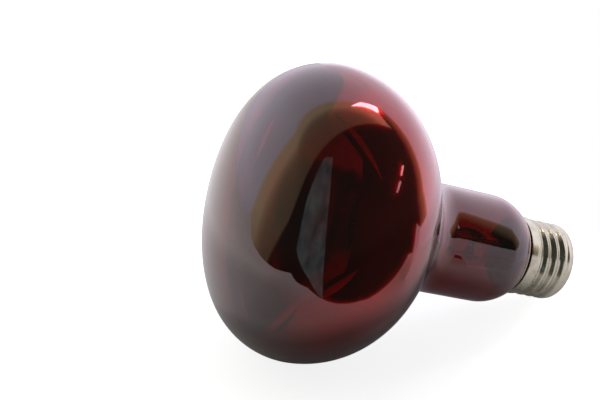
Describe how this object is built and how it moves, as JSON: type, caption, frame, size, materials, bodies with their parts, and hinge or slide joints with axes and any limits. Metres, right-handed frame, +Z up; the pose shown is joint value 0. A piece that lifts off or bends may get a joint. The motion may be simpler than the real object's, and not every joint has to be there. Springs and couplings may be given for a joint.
{
  "type": "infrared reflector lamp",
  "caption": "Infrared heat lamp: dark red blown-glass reflector bulb with a domed face and a straight neck on a metal Edison screw cap.",
  "frame": {"origin": "on the ground, under the middle of the lying lamp's bounding box", "axes": "+Z up from the ground, +X towards the cap, lamp axis in the X-Z plane with the face towards -X and tilted up"},
  "size_m": [0.1286, 0.095, 0.0925],
  "materials": {
    "red_glass": "clear deep red blown glass, bowl aluminised inside",
    "nickel_plate": "bright nickel plate on rolled sheet",
    "cement": "matt baked cement",
    "black_glass": "glossy moulded black glass",
    "contact_brass": "plain stamped brass",
    "solder": "dull tin solder",
    "clear_glass": "clear fused glass",
    "nickel_wire": "drawn nickel wire",
    "tungsten": "dark coiled tungsten",
    "support_wire": "drawn molybdenum wire"
  },
  "bodies": {
    "root": {"glass_envelope": "red_glass", "screw_shell": "nickel_plate", "basing_cement": "cement", "cap_insulator": "black_glass", "centre_contact": "contact_brass", "contact_solder": "solder", "glass_stem": "clear_glass", "centre_lead_wire": "nickel_wire", "side_lead_wire": "nickel_wire", "filament": "tungsten", "filament_support_1": "support_wire", "filament_support_2": "support_wire", "filament_support_3": "support_wire", "filament_support_4": "support_wire"}
  },
  "joints": []
}
